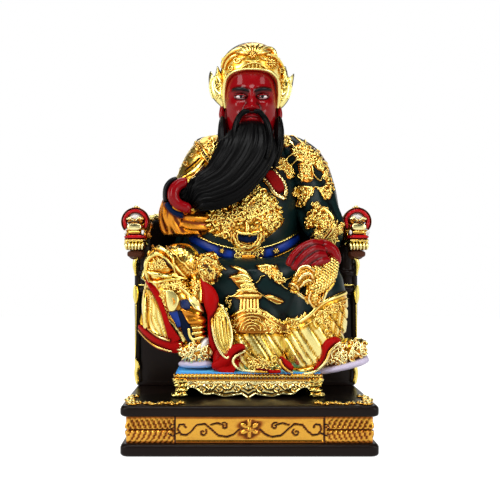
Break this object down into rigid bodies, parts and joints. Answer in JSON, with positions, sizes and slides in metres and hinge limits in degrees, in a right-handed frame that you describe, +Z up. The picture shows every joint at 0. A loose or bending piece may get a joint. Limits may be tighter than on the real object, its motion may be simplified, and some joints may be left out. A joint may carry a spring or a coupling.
{
  "type": "seated guan yu statue on a plinth",
  "caption": "Seated general in robe and armour, drawing his long beard aside, on a dragon-arm chair with a footstool and a stepped plinth.",
  "frame": {"origin": "centre of the plinth's underside", "axes": "+Z up, front towards -Y, +X to the right of someone facing the front"},
  "size_m": [0.2584, 0.19, 0.412],
  "materials": {
    "lacquer": "black-brown satin lacquer",
    "gilt": "bright gold metallic paint",
    "robe_green": "dark green gloss paint",
    "crimson": "deep red gloss paint",
    "beard_black": "black satin paint",
    "sky_blue": "matt light blue paint",
    "sole_white": "matt white paint"
  },
  "bodies": {
    "root": {"plinth": "lacquer", "footstool": "gilt", "throne": "lacquer", "figure": "gilt"}
  },
  "joints": []
}
